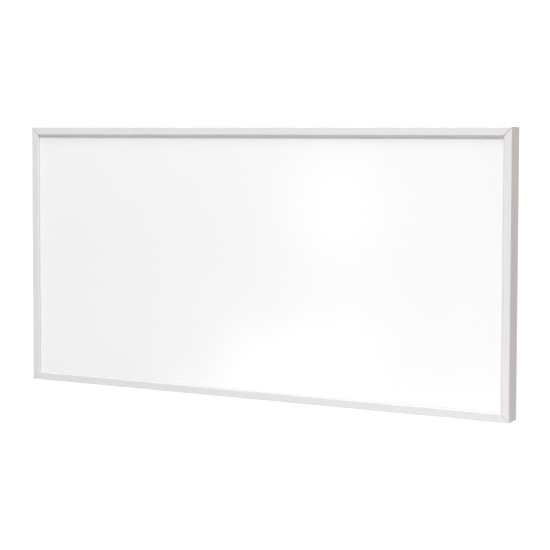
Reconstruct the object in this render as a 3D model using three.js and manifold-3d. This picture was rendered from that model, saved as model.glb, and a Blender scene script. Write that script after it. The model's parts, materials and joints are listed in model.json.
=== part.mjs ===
// Infrared panel heater for a wall: a white coated heating plate set in a deep mitred frame.
// Millimetres. The origin is the middle of the wall plane, which is the frame's rear face.
// X runs to the right as seen from the room, Y from the room to the wall, and Z up, so the
// front looks along -Y. A depth is measured back from the frame's front face.

import * as THREE from 'three';
import { mergeVertices } from 'three/addons/utils/BufferGeometryUtils.js';
import Module from 'manifold-3d';

const wasm = await Module();
wasm.setup();

// ---- Driving dimensions -------------------------------------------------------------------

// The whole heater
const panelWidth = 1200;
const panelHeight = 600;
const frameDepth = 44;

// The frame's extrusion, one section for all four members
const faceWidth = 18; // the band seen from the room
const frameWall = 1.5;
const plateRecess = 6; // from the face back to the heating plate's groove
const grooveDepth = 16; // the groove that grips the layers
const ledgeWidth = 14; // the groove's rear wall, from the outer face
const keyChamberWidth = 7.5; // inside
const keyChamberDepth = 9.5; // inside
const flangeWidth = 22; // the rear flange that lies on the wall
const edgeRadius = 0.8; // outer edges of the section
const lipRadius = 3; // the face's soft inner edge, towards the plate
const rootRadius = 0.6; // inner corners of the section
const mitreGap = 0.6; // the fine line between two mitred ends

// Corner keys and their set screws
const keyPlay = 0.3; // around a key in its chamber
const keyCorner = 0.9; // radius of a key's corners
const keyLeg = 46; // from the frame's outer corner
const alignerLeg = 42; // the flat key in the front chamber
const setScrewPlace = 30; // from the frame's outer corner
const setScrewDiameter = 5;
const setScrewSocket = 2.5; // across its flats
const setScrewSocketDepth = 2.5;
const accessHole = 6.5; // in the chamber wall, for the hexagon key

// The layers in the groove, front to back
const seatGap = 0.2; // between the layers and the groove's walls
const bondGap = 0.1; // between two layers
const edgePlay = 0.5; // around a layer in what holds it
const plateThickness = 1;
const plateRim = 9; // the plate's folded rim, from its face
const plateCorner = 2.5;
const filmThickness = 0.6;
const filmMargin = 18; // from the rim to the film's edge
const busbarThickness = 0.3;
const busbarWidth = 12;
const busbarInset = 10; // from the film's edge to the busbar's middle
const sheetThickness = 0.4;
const foilThickness = 0.2;
const backThickness = 0.7;

// Stiffening beads pressed into the back plate
const beadWidth = 22;
const beadHeight = 3;
const beadSlope = 4; // how far each side leans in
const beadPitch = 150;
const beadsEachSide = 2; // of the middle one
const beadEnd = 70; // from the plate's edge
const beadOverBox = 46; // from the middle bead's lower end to the connection box

// Hangers: folded hat sections with a keyhole, for a wall screw each
const hangerFromSide = 150; // from the panel's left or right edge to the keyhole
const hangerFromEdge = 80; // from its top or bottom edge
const hangerThickness = 1.5;
const hangerHeight = 40;
const hangerCrown = 50; // over the webs
const hangerFoot = 17; // each foot, beyond its web
const hangerBend = 1.2; // inside radius
const keyholeRadius = 5.5; // takes the screw's head
const keyholeSlot = 5.4; // takes its shank
const keyholeTravel = 12; // from the round hole up to the slot's end
const keyholeDrop = 5; // of the round hole below the hanger's middle

// Rivets for the hangers and the connection box
const rivetDiameter = 4;
const holePlay = 0.15; // around a rivet or a screw in its hole
const rivetHead = 8;
const rivetHeadHeight = 1.5;
const rivetTail = 6;
const rivetTailHeight = 1.2;
const rivetEdge = 8; // from a hanger foot's edge to its rivet

// Connection box
const boxCentreX = 0;
const boxFromBottom = 124; // from the panel's bottom edge to the box's middle
const boxWidth = 110;
const boxHeight = 74;
const boxDepth = 17.5;
const boxWall = 2;
const boxCorner = 5;
const boxEar = 13; // each ear, beyond the box
const boxEarHeight = 22;
const lidThickness = 2;
const lidLip = 2.5; // how far the lid's lip reaches in
const lidLipWall = 1.5;
const lidScrewDiameter = 3;
const lidScrewHead = 6;
const lidScrewLength = 11;
const lidBoss = 7.5;
const partPlay = 0.3; // between moulded parts

// Cable gland
const glandX = 18; // from the box's middle
const glandBore = 7;
const glandThread = 12;
const glandFlats = 15;
const glandFlange = 5; // the hexagon's length
const glandShank = 8; // thread inside, from the flange
const glandNeck = 8; // thread outside, from the flange
const glandNutLength = 13;
const glandNutWall = 1.6;
const locknutLength = 3.5;
const sealWall = 1.4;

// Terminal block
const blockWidth = 34;
const blockHeight = 16;
const blockDepth = 12;
const blockEdge = 1; // radius of its edges
const blockZ = 2; // from the box's middle
const polePitch = 10;
const poles = 3;
const portDiameter = 3.4;
const portDepth = 5.5;
const releaseSlot = 2.6;

// Where the leads go through to the layers, from the box's middle
const passX = -26;
const passZ = 9;
const passBore = 10; // the grommet's hole
const grommetWall = 1.4;
const grommetFlange = 1.6;

// Over-temperature cut-out, in a pocket of the insulation
const cutoutDiameter = 16;
const cutoutHeight = 5.5;
const cutoutFlange = 20;
const cutoutFlangeHeight = 1;
const bladeWidth = 4;
const bladeLength = 6;
const bladeThickness = 0.8;
const pocketDiameter = 34;

// Leads
const leadDiameter = 2.2;
const leadBend = 3; // from a corner of the route to where its bend starts
const leadGroove = 4;
const leadSpacing = 3; // from the pass's middle
const tapHole = 8;
const liveRise = 20; // over the terminal block
const neutralRise = 14;
const earthRise = 8;

// Earth stud on the back plate
const earthX = -28; // from the box's middle
const earthZ = -20;
const studDiameter = 4;
const studLength = 11;
const studFlange = 8;
const earthNutFlats = 7;
const earthNutHeight = 3.2;
const lugOuter = 8;
const lugThickness = 0.8;
const lugTail = 9; // from the stud to the lead

// Notch in the bottom member, where the cable leaves along the wall
const notchWidth = 11;
const notchDepth = 8.5;
const notchRadius = 3;

const past = 1; // how far a cutting form runs past what it cuts
const bendShare = 0.45; // the most of a straight side that one rounded corner may take

// ---- Depths, sizes and places that follow -------------------------------------------------

const fromFront = (depth) => depth - frameDepth; // depth behind the face, as Y
const ledgeFront = plateRecess + grooveDepth;
const ledgeBack = ledgeFront + frameWall;
const keyChamberInner = frameWall + keyChamberWidth;
const keyChamberBack = ledgeBack + keyChamberDepth;
const keyChamberMiddle = fromFront((ledgeBack + keyChamberBack) / 2);

const plateFront = fromFront(plateRecess + seatGap);
const plateBack = plateFront + plateThickness;
const filmFront = plateBack + bondGap;
const filmBack = filmFront + filmThickness;
const busbarFront = filmBack + bondGap;
const busbarBack = busbarFront + busbarThickness;
const sheetFront = busbarBack + bondGap;
const sheetBack = sheetFront + sheetThickness;
const foilFront = sheetBack + bondGap;
const foilBack = foilFront + foilThickness;
const matFront = foilBack + bondGap;
const backRear = fromFront(ledgeFront - seatGap);
const backFront = backRear - backThickness;
const matBack = backFront - bondGap;

const plateWidth = panelWidth - 2 * (frameWall + edgePlay);
const plateHeight = panelHeight - 2 * (frameWall + edgePlay);
const layerWidth = plateWidth - 2 * (plateThickness + edgePlay);
const layerHeight = plateHeight - 2 * (plateThickness + edgePlay);
const filmWidth = layerWidth - 2 * filmMargin;
const filmHeight = layerHeight - 2 * filmMargin;
const busbarZ = filmHeight / 2 - busbarInset;

const boxCentreZ = boxFromBottom - panelHeight / 2;
const boxFloorRear = backRear + seatGap + boxWall; // the box's inner floor
const boxRim = backRear + seatGap + boxDepth;
const boxInside = boxRim - boxFloorRear;
const leadLevel = boxFloorRear + partPlay + blockDepth / 2;
const glandLevel = boxFloorRear + boxInside / 2;
const pass = { x: boxCentreX + passX, z: boxCentreZ + passZ };
const leadRun = backFront - bondGap - grommetFlange - partPlay - leadDiameter / 2;
const grooveFloor = leadRun - leadDiameter / 2 - partPlay;
const cutoutBack = filmBack + seatGap + cutoutHeight;
const rivetGrip = backThickness + seatGap + hangerThickness;

const hangerX = panelWidth / 2 - hangerFromSide;
const hangerZ = panelHeight / 2 - hangerFromEdge;
const hangerPlaces = [
  { name: 'bottom_left', x: -hangerX, z: -hangerZ },
  { name: 'bottom_right', x: hangerX, z: -hangerZ },
  { name: 'top_right', x: hangerX, z: hangerZ },
  { name: 'top_left', x: -hangerX, z: hangerZ },
];
const footRivetX = hangerCrown / 2 + hangerFoot - rivetEdge;
const earRivetX = boxWidth / 2 + boxEar / 2;
const leadTaps = [
  { x: pass.x, z: busbarZ },
  { x: pass.x + leadSpacing, z: -busbarZ },
];

// ---- Materials ----------------------------------------------------------------------------

function material(color, roughness, metalness = 0) {
  return new THREE.MeshStandardMaterial({ color, roughness, metalness });
}

const whitePowderCoat = material('#e6e5e3', 0.45);
const whiteEnamel = material('#f7f7f6', 0.28);
const millAluminium = material('#b9bcc0', 0.4, 1);
const galvanisedSteel = material('#a7abad', 0.45, 0.9);
const zincPlatedSteel = material('#b4b6b8', 0.35, 1);
const carbonFilm = material('#26272a', 0.6);
const copper = material('#b06a43', 0.35, 1);
const micaSheet = material('#b9a878', 0.6);
const brightFoil = material('#d5d7da', 0.2, 1);
const mineralWool = material('#c9b98a', 0.95);
const greyPlastic = material('#3b3d40', 0.55);
const palePlastic = material('#d8d6cf', 0.5);
const blackRubber = material('#1c1c1d', 0.85);
const brass = material('#b59a55', 0.35, 1);
const brownLead = material('#6a3d25', 0.5);
const blueLead = material('#2b5c9c', 0.5);
const redLead = material('#9c2f2a', 0.5);
const earthLeadGreen = material('#6f9a2f', 0.5);

// ---- Shapes -------------------------------------------------------------------------------

// Points of an outline given as corners [x, y, radius], each rounded by an arc.
function roundedOutline(corners, arcSteps = 3) {
  const points = [];
  corners.forEach(([x, y, radius = 0], i) => {
    const corner = new THREE.Vector2(x, y);
    const [beforeX, beforeY] = corners.at(i - 1);
    const [afterX, afterY] = corners[(i + 1) % corners.length];
    const before = new THREE.Vector2(beforeX, beforeY).sub(corner);
    const after = new THREE.Vector2(afterX, afterY).sub(corner);
    if (radius <= 0) {
      points.push(corner);
      return;
    }
    const half = before.angleTo(after) / 2;
    const room = Math.min(before.length(), after.length()) * bendShare;
    const reach = Math.min(radius / Math.tan(half), room);
    const arcRadius = reach * Math.tan(half);
    before.normalize();
    after.normalize();
    const middle = before.clone().add(after).normalize();
    const centre = corner.clone().addScaledVector(middle, arcRadius / Math.sin(half));
    const start = corner.clone().addScaledVector(before, reach).sub(centre);
    const end = corner.clone().addScaledVector(after, reach).sub(centre);
    const turn = Math.atan2(start.cross(end), start.dot(end));
    for (let step = 0; step <= arcSteps; step += 1) {
      const spoke = start.clone().rotateAround(new THREE.Vector2(), (turn * step) / arcSteps);
      points.push(centre.clone().add(spoke));
    }
  });
  return points;
}

function shapeOf(points, holes = []) {
  const shape = new THREE.Shape(points);
  shape.holes = holes.map((hole) => new THREE.Path(hole));
  return shape;
}

function rectangle(width, height, radius = 0, x = 0, y = 0) {
  const right = x + width / 2;
  const top = y + height / 2;
  const corners = [
    [right - width, top - height, radius],
    [right, top - height, radius],
    [right, top, radius],
    [right - width, top, radius],
  ];
  return roundedOutline(corners);
}

function circle(diameter, x = 0, y = 0, sides = 16) {
  const spoke = (i) => (i * 2 * Math.PI) / sides;
  return Array.from({ length: sides }, (_, i) => new THREE.Vector2(
    x + (diameter / 2) * Math.cos(spoke(i)),
    y + (diameter / 2) * Math.sin(spoke(i)),
  ));
}

// A slot-shaped outline with half-round ends, its length along y.
function stadium(width, length) {
  const outline = new THREE.Path();
  const middle = (length - width) / 2;
  outline.absarc(0, middle, width / 2, 0, Math.PI);
  outline.absarc(0, -middle, width / 2, Math.PI, 2 * Math.PI);
  return outline.getPoints(4);
}

// The section of a folded strip: a path of right-angled corners, given a thickness and bends.
function foldedStrip(path, thickness, bend) {
  const side = (sign) => path.map(([x, y], i) => {
    const [beforeX, beforeY] = path[Math.max(i - 1, 0)];
    const [afterX, afterY] = path[Math.min(i + 1, path.length - 1)];
    const into = new THREE.Vector2(x - beforeX, y - beforeY).normalize();
    const out = new THREE.Vector2(afterX - x, afterY - y).normalize();
    const turn = into.cross(out);
    const normal = new THREE.Vector2(-into.y - out.y, into.x + out.x);
    const length = turn === 0 ? thickness / 2 : thickness / Math.SQRT2;
    normal.setLength(sign * length);
    const radius = sign * turn > 0 ? bend : bend + thickness;
    return [x + normal.x, y + normal.y, turn === 0 ? 0 : radius];
  });
  return new THREE.Shape(roundedOutline([...side(1), ...side(-1).reverse()], 3));
}

// A keyhole: a round hole about the origin, with a slot that runs up from it.
function keyholeOutline(radius, slot, travel) {
  const outline = new THREE.Path();
  const meeting = Math.asin(slot / 2 / radius);
  outline.absarc(0, 0, radius, Math.PI / 2 + meeting, Math.PI * 2.5 - meeting);
  outline.absarc(0, travel, slot / 2, 0, Math.PI);
  return outline.getPoints(6);
}

// ---- Solids -------------------------------------------------------------------------------

// A shape drawn in X and Z, given a thickness from nearY to farY.
function slab(shape, nearY, farY) {
  const geometry = new THREE.ExtrudeGeometry(shape, {
    depth: farY - nearY,
    bevelEnabled: false,
  });
  geometry.rotateX(Math.PI / 2);
  geometry.translate(0, farY, 0);
  return geometry;
}

// A shape drawn in X and Y, given a length from lowZ to highZ.
function bar(shape, lowZ, highZ) {
  const geometry = new THREE.ExtrudeGeometry(shape, {
    depth: highZ - lowZ,
    bevelEnabled: false,
  });
  geometry.translate(0, 0, lowZ);
  return geometry;
}

// A round or six-sided rod along Y, from nearY to farY.
function rod(diameter, nearY, farY, x = 0, z = 0, sides = 16) {
  const geometry = new THREE.CylinderGeometry(
    diameter / 2, diameter / 2, farY - nearY, sides, 1, false, Math.PI / 6,
  );
  geometry.translate(x, (nearY + farY) / 2, z);
  return geometry;
}

const overFlats = (flats) => (flats * 2) / Math.sqrt(3);

// A turned solid about Y from a profile of [radius, y], listed from low to high y.
function turned(profile, sides = 16) {
  const points = profile.map(([radius, y]) => new THREE.Vector2(radius, y));
  return new THREE.LatheGeometry(points, sides);
}

// The same solids along Z, for what goes through the box's lower wall.
const alongZ = (geometry) => geometry.rotateX(Math.PI / 2);

function solid(geometry) {
  const bare = geometry.clone();
  bare.deleteAttribute('normal');
  bare.deleteAttribute('uv');
  const merged = mergeVertices(bare, 1e-4);
  return new wasm.Manifold(new wasm.Mesh({
    numProp: 3,
    vertProperties: merged.attributes.position.array,
    triVerts: new Uint32Array(merged.index.array),
  }));
}

function geometryOf(manifold) {
  const { vertProperties, triVerts } = manifold.getMesh();
  const geometry = new THREE.BufferGeometry();
  geometry.setAttribute('position', new THREE.BufferAttribute(vertProperties, 3));
  geometry.setIndex(new THREE.BufferAttribute(triVerts, 1));
  geometry.computeVertexNormals();
  return geometry;
}

function join(...geometries) {
  return geometryOf(geometries.map(solid).reduce((whole, next) => whole.add(next)));
}

function cut(geometry, ...tools) {
  return geometryOf(tools.map(solid).reduce((left, tool) => left.subtract(tool), solid(geometry)));
}

function moved(geometry, x, y, z) {
  return geometry.clone().translate(x, y, z);
}

const heater = new THREE.Group();

function piece(name, geometry, finish, parent = heater) {
  const mesh = new THREE.Mesh(geometry, finish);
  mesh.name = name;
  parent.add(mesh);
  return mesh;
}

function groupAt(x, y, z, turnY = 0) {
  const group = new THREE.Group();
  group.position.set(x, y, z);
  group.rotation.y = turnY;
  heater.add(group);
  return group;
}

// ---- Frame --------------------------------------------------------------------------------

// The extrusion's section, drawn as [inwards from the outer face, Y]. A closed chamber behind
// the face, the groove for the layers, a chamber for the corner keys and the rear flange.
function frameSection() {
  const face = fromFront(0);
  const grooveFront = fromFront(plateRecess);
  const grooveBack = fromFront(ledgeFront);
  const ledgeRear = fromFront(ledgeBack);
  const chamberRear = fromFront(keyChamberBack + frameWall);
  const flangeFront = -frameWall;
  const outline = roundedOutline([
    [0, face, edgeRadius],
    [faceWidth, face, lipRadius],
    [faceWidth, grooveFront],
    [frameWall, grooveFront, rootRadius],
    [frameWall, grooveBack, rootRadius],
    [ledgeWidth, grooveBack],
    [ledgeWidth, ledgeRear],
    [keyChamberInner + frameWall, ledgeRear, rootRadius],
    [keyChamberInner + frameWall, chamberRear, edgeRadius],
    [frameWall, chamberRear, rootRadius],
    [frameWall, flangeFront, rootRadius],
    [flangeWidth, flangeFront],
    [flangeWidth, 0],
    [0, 0, edgeRadius],
  ]);
  const faceChamber = rectangle(
    faceWidth - 2 * frameWall,
    plateRecess - 2 * frameWall,
    rootRadius,
    faceWidth / 2,
    fromFront(plateRecess / 2),
  );
  const keyChamber = rectangle(
    keyChamberWidth,
    keyChamberDepth,
    rootRadius,
    frameWall + keyChamberWidth / 2,
    keyChamberMiddle,
  );
  return shapeOf(outline, [faceChamber, keyChamber]);
}

// One member along X, its inner side towards +Z, with both ends mitred.
function frameMember(length) {
  const member = new THREE.ExtrudeGeometry(frameSection(), { depth: length, bevelEnabled: false });
  member.translate(0, 0, -length / 2);
  member.rotateY(-Math.PI / 2);
  const corner = member.attributes.position;
  for (let i = 0; i < corner.count; i += 1) {
    const shortening = corner.getZ(i) + mitreGap / Math.SQRT2;
    corner.setX(i, Math.sign(corner.getX(i)) * (length / 2 - shortening));
  }
  const holes = [-1, 1].map((end) => {
    const hole = alongZ(rod(accessHole, keyChamberInner - keyPlay, faceWidth));
    return hole.translate(end * (length / 2 - setScrewPlace), keyChamberMiddle, 0);
  });
  return cut(member, ...holes);
}

// The cable's way out along the wall, through the bottom member's outer wall and its flange.
function cableNotch() {
  const depth = 2 * notchDepth;
  const outline = rectangle(notchWidth, depth, notchRadius, boxCentreX + glandX, 0);
  return bar(new THREE.Shape(outline), -frameWall, flangeWidth + frameWall);
}

function addFrame() {
  const rail = frameMember(panelWidth);
  const stile = frameMember(panelHeight);
  const bottom = groupAt(0, 0, -panelHeight / 2);
  const right = groupAt(panelWidth / 2, 0, 0, -Math.PI / 2);
  const top = groupAt(0, 0, panelHeight / 2, Math.PI);
  const left = groupAt(-panelWidth / 2, 0, 0, Math.PI / 2);
  piece('frame_bottom_rail', cut(rail, cableNotch()), whitePowderCoat, bottom);
  piece('frame_right_stile', stile, whitePowderCoat, right);
  piece('frame_top_rail', rail.clone(), whitePowderCoat, top);
  piece('frame_left_stile', stile.clone(), whitePowderCoat, left);
}

// An L-shaped key about the frame's outer corner, filling a chamber from inner to outer wall.
function cornerPlate(near, far, leg, nearY, farY) {
  const outline = roundedOutline([
    [near, near, keyCorner],
    [leg, near, keyCorner],
    [leg, far, keyCorner],
    [far, far, keyCorner],
    [far, leg, keyCorner],
    [near, leg, keyCorner],
  ]);
  return slab(new THREE.Shape(outline), nearY, farY);
}

function cornerKey() {
  const near = frameWall + keyPlay;
  const far = keyChamberInner - keyPlay;
  const nearY = fromFront(ledgeBack) + keyPlay;
  const farY = fromFront(keyChamberBack) - keyPlay;
  const key = cornerPlate(near, far, keyLeg, nearY, farY);
  const threadZ = alongZ(rod(setScrewDiameter, 0, keyChamberInner));
  threadZ.translate(setScrewPlace, keyChamberMiddle, 0);
  const threadX = rod(setScrewDiameter, 0, keyChamberInner).rotateZ(-Math.PI / 2);
  threadX.translate(0, keyChamberMiddle, setScrewPlace);
  return cut(key, threadZ, threadX);
}

function setScrew() {
  const tip = frameWall + keyPlay;
  const head = keyChamberInner - keyPlay;
  const body = rod(setScrewDiameter - keyPlay, tip, head);
  const socket = rod(overFlats(setScrewSocket), head - setScrewSocketDepth, head + past, 0, 0, 6);
  return cut(body, socket);
}

function addCorners() {
  const places = [
    { name: 'bottom_left', x: -1, z: -1, turn: 0 },
    { name: 'bottom_right', x: 1, z: -1, turn: -Math.PI / 2 },
    { name: 'top_right', x: 1, z: 1, turn: Math.PI },
    { name: 'top_left', x: -1, z: 1, turn: Math.PI / 2 },
  ];
  const key = cornerKey();
  const aligner = cornerPlate(
    frameWall + keyPlay,
    faceWidth - frameWall - keyPlay,
    alignerLeg,
    fromFront(frameWall + keyPlay),
    fromFront(plateRecess - frameWall - keyPlay),
  );
  const screw = setScrew();
  const screwZ = alongZ(screw.clone()).translate(setScrewPlace, keyChamberMiddle, 0);
  const screwX = screw.clone().rotateZ(-Math.PI / 2);
  screwX.translate(0, keyChamberMiddle, setScrewPlace);
  for (const { name, x, z, turn } of places) {
    const corner = groupAt((x * panelWidth) / 2, 0, (z * panelHeight) / 2, turn);
    piece(`corner_key_${name}`, key.clone(), millAluminium, corner);
    piece(`face_aligner_${name}`, aligner.clone(), zincPlatedSteel, corner);
    piece(`set_screw_a_${name}`, screwZ.clone(), zincPlatedSteel, corner);
    piece(`set_screw_b_${name}`, screwX.clone(), zincPlatedSteel, corner);
  }
}

// ---- Layers in the groove -----------------------------------------------------------------

// The coated plate: a shallow tray whose rim is folded back.
function heatingPlate() {
  const outer = new THREE.Shape(rectangle(plateWidth, plateHeight, plateCorner));
  const inner = new THREE.Shape(rectangle(
    plateWidth - 2 * plateThickness,
    plateHeight - 2 * plateThickness,
    plateCorner - plateThickness,
  ));
  const tray = slab(outer, plateFront, plateFront + plateRim);
  return cut(tray, slab(inner, plateBack, plateFront + 2 * plateRim));
}

function tapCircles() {
  return leadTaps.map(({ x, z }) => circle(tapHole, x, z));
}

// A thin layer behind the film, with windows for the cut-out and the two leads.
function windowedLayer(nearY, farY) {
  const outline = rectangle(layerWidth, layerHeight, plateCorner);
  const window = circle(pocketDiameter, pass.x, pass.z);
  return slab(shapeOf(outline, [window, ...tapCircles()]), nearY, farY);
}

function leadGrooves() {
  return leadTaps.map(({ x, z }) => {
    const length = Math.abs(z - pass.z);
    const outline = rectangle(leadGroove, length, 0, x, (z + pass.z) / 2);
    return slab(new THREE.Shape(outline), grooveFloor, matBack + past);
  });
}

function allRivetPlaces() {
  const places = hangerPlaces.flatMap(({ x, z }) => [
    { x: x - footRivetX, z },
    { x: x + footRivetX, z },
  ]);
  places.push({ x: boxCentreX - earRivetX, z: boxCentreZ });
  places.push({ x: boxCentreX + earRivetX, z: boxCentreZ });
  return places;
}

function insulationMat() {
  const mat = windowedLayer(matFront, matBack);
  const depth = rivetTailHeight + 2 * partPlay;
  const dents = allRivetPlaces().map(({ x, z }) => (
    rod(rivetTail + 2 * partPlay, matBack - depth, matBack + past, x, z, 12)
  ));
  return cut(mat, ...leadGrooves(), ...dents);
}

// One pressed bead, rising from the sheet's rear face and open to the front.
function beadForm(width, length, height, z) {
  const form = new THREE.ExtrudeGeometry(new THREE.Shape(stadium(width, length)), {
    depth: backThickness,
    bevelEnabled: true,
    bevelThickness: height,
    bevelSize: beadSlope,
    bevelOffset: -beadSlope,
    bevelSegments: 1,
  });
  form.rotateX(Math.PI / 2);
  return form.translate(0, backRear, z);
}

function beadPlaces() {
  const high = plateHeight / 2 - beadEnd;
  const places = [];
  for (let i = -beadsEachSide; i <= beadsEachSide; i += 1) {
    const low = i === 0 ? boxCentreZ + boxHeight / 2 + beadOverBox : -high;
    places.push({ x: i * beadPitch, length: high - low, z: (high + low) / 2 });
  }
  return places;
}

function backPlate() {
  const rivetHoles = allRivetPlaces().map(({ x, z }) => (
    circle(rivetDiameter + 2 * holePlay, x, z)
  ));
  const leadHole = circle(passBore + 2 * grommetWall + 2 * partPlay, pass.x, pass.z);
  const outline = rectangle(plateWidth, plateHeight, plateCorner);
  const sheet = slab(shapeOf(outline, [leadHole, ...rivetHoles]), backFront, backRear);
  const outer = beadPlaces().map(({ x, length, z }) => (
    moved(beadForm(beadWidth, length, beadHeight, z), x, 0, 0)
  ));
  const inner = beadPlaces().map(({ x, length, z }) => {
    const width = beadWidth - 2 * backThickness;
    const form = beadForm(width, length - 2 * backThickness, beadHeight, z);
    return moved(form, x, -backThickness, 0);
  });
  const inFront = slab(
    new THREE.Shape(rectangle(panelWidth, panelHeight)),
    backFront - 2 * beadHeight,
    backFront,
  );
  return cut(join(sheet, ...outer), inFront, ...inner);
}

function addLayers() {
  const film = new THREE.Shape(rectangle(filmWidth, filmHeight, plateCorner));
  piece('heating_plate', heatingPlate(), whiteEnamel);
  piece('heating_film', slab(film, filmFront, filmBack), carbonFilm);
  for (const [name, side] of [['top', 1], ['bottom', -1]]) {
    const strip = rectangle(filmWidth, busbarWidth, 0, 0, side * busbarZ);
    const busbar = slab(new THREE.Shape(strip), busbarFront, busbarBack);
    piece(`busbar_${name}`, busbar, copper);
  }
  piece('insulating_sheet', windowedLayer(sheetFront, sheetBack), micaSheet);
  piece('reflector_foil', windowedLayer(foilFront, foilBack), brightFoil);
  piece('insulation_mat', insulationMat(), mineralWool);
  piece('back_plate', backPlate(), galvanisedSteel);
}

// ---- Hangers ------------------------------------------------------------------------------

function hanger() {
  const foot = backRear + seatGap + hangerThickness / 2;
  const crown = -hangerThickness / 2;
  const web = hangerCrown / 2 - hangerThickness / 2;
  const tip = hangerCrown / 2 + hangerFoot;
  const path = [[-tip, foot], [-web, foot], [-web, crown], [web, crown], [web, foot], [tip, foot]];
  const section = foldedStrip(path, hangerThickness, hangerBend);
  const hat = bar(section, -hangerHeight / 2, hangerHeight / 2);
  const keyhole = keyholeOutline(keyholeRadius, keyholeSlot, keyholeTravel);
  const opening = slab(new THREE.Shape(keyhole), -4 * hangerThickness, hangerThickness);
  opening.translate(0, 0, -keyholeDrop);
  const rivetHoles = [-1, 1].map((side) => rod(
    rivetDiameter + 2 * holePlay,
    foot - hangerThickness,
    foot + hangerThickness,
    side * footRivetX,
    0,
    16,
  ));
  return cut(hat, opening, ...rivetHoles);
}

// A blind rivet: its tail on the sheet's front, its domed head on what it holds.
function rivet(grip) {
  const tail = backFront - holePlay - rivetTailHeight;
  const seat = backFront + grip + holePlay;
  return turned([
    [0, tail],
    [rivetTail / 2, tail],
    [rivetTail / 2, tail + rivetTailHeight],
    [rivetDiameter / 2, tail + rivetTailHeight],
    [rivetDiameter / 2, seat],
    [rivetHead / 2, seat],
    [rivetHead / 2 - holePlay, seat + rivetHeadHeight / 2],
    [rivetDiameter / 2, seat + rivetHeadHeight],
    [0, seat + rivetHeadHeight],
  ], 12);
}

function addHangers() {
  const hat = hanger();
  const fastener = rivet(rivetGrip);
  for (const { name, x, z } of hangerPlaces) {
    piece(`hanger_${name}`, moved(hat, x, 0, z), galvanisedSteel);
    for (const [side, sign] of [['left', -1], ['right', 1]]) {
      const there = moved(fastener, x + sign * footRivetX, 0, z);
      piece(`rivet_${name}_${side}`, there, zincPlatedSteel);
    }
  }
}

// ---- Connection box, drawn about its own middle -------------------------------------------

const lidScrewPlaces = [-1, 1].map((side) => ({
  x: side * (boxWidth / 2 - boxWall - lidBoss / 2),
  z: side * (boxHeight / 2 - boxWall - lidBoss / 2),
}));

function boxBase() {
  const floorFront = backRear + seatGap;
  const outer = slab(new THREE.Shape(rectangle(boxWidth, boxHeight, boxCorner)), floorFront, boxRim);
  const hollow = slab(
    new THREE.Shape(rectangle(boxWidth - 2 * boxWall, boxHeight - 2 * boxWall, boxCorner - boxWall)),
    boxFloorRear,
    boxRim + past,
  );
  const earShape = shapeOf(
    rectangle(boxWidth + 2 * boxEar, boxEarHeight, boxCorner),
    [-1, 1].map((side) => circle(rivetDiameter + 2 * holePlay, side * earRivetX)),
  );
  const ears = slab(earShape, floorFront, floorFront + hangerThickness);
  const bosses = lidScrewPlaces.map(({ x, z }) => (
    rod(lidBoss, floorFront + boxWall / 2, boxRim - lidLip - partPlay, x, z)
  ));
  const pilots = lidScrewPlaces.map(({ x, z }) => (
    rod(lidScrewDiameter, boxFloorRear, boxRim + boxWall, x, z, 12)
  ));
  const floorHole = (bore, x, z) => (
    rod(bore + 2 * partPlay, floorFront - past, boxFloorRear + past, x, z)
  );
  const leadHole = floorHole(passBore + 2 * (grommetWall + grommetFlange), passX, passZ);
  const studHole = floorHole(studFlange, earthX, earthZ);
  const glandHole = alongZ(rod(glandThread + 2 * partPlay, 0, 2 * boxWall));
  glandHole.translate(glandX, glandLevel, -boxHeight / 2 - boxWall / 2);
  const shell = cut(outer, hollow);
  return cut(join(shell, ears, ...bosses), ...pilots, leadHole, studHole, glandHole);
}

function boxLid() {
  const under = boxRim + bondGap;
  const cover = slab(
    new THREE.Shape(rectangle(boxWidth, boxHeight, boxCorner)),
    under,
    under + lidThickness,
  );
  const lipWidth = boxWidth - 2 * (boxWall + partPlay);
  const lipHeight = boxHeight - 2 * (boxWall + partPlay);
  const lipCorner = boxCorner - boxWall;
  const lipShape = shapeOf(
    rectangle(lipWidth, lipHeight, lipCorner),
    [rectangle(lipWidth - 2 * lidLipWall, lipHeight - 2 * lidLipWall, lipCorner - lidLipWall / 2)],
  );
  const lip = slab(lipShape, boxRim - lidLip, under + lidThickness / 2);
  const pads = lidScrewPlaces.map(({ x, z }) => (
    rod(lidBoss, boxRim - lidLip, under + lidThickness / 2, x, z)
  ));
  const countersinks = lidScrewPlaces.map(({ x, z }) => {
    const cone = turned([
      [0, boxRim - 2 * lidLip],
      [lidScrewDiameter / 2 + holePlay, boxRim - 2 * lidLip],
      [lidScrewDiameter / 2 + holePlay, under],
      [lidScrewHead / 2 + holePlay, under + lidThickness + holePlay],
      [0, under + lidThickness + holePlay],
    ]);
    return cone.translate(x, 0, z);
  });
  const nutWidth = overFlats(glandFlats) + 2 * lidLipWall;
  const nutReach = 2 * (boxWall + lidLipWall + locknutLength);
  const overLocknut = slab(
    new THREE.Shape(rectangle(nutWidth, nutReach, 0, glandX, -boxHeight / 2)),
    boxRim - 2 * lidLip,
    under,
  );
  return cut(join(cover, lip, ...pads), overLocknut, ...countersinks);
}

function lidScrew() {
  const top = boxRim + bondGap + lidThickness;
  const shank = lidScrewDiameter / 2 - holePlay;
  const tip = top - lidScrewLength;
  return turned([
    [0, tip - shank],
    [shank, tip],
    [shank, boxRim + bondGap],
    [lidScrewHead / 2 - holePlay, top - holePlay],
    [lidScrewHead / 2 - holePlay, top],
    [0, top],
  ]);
}

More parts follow.
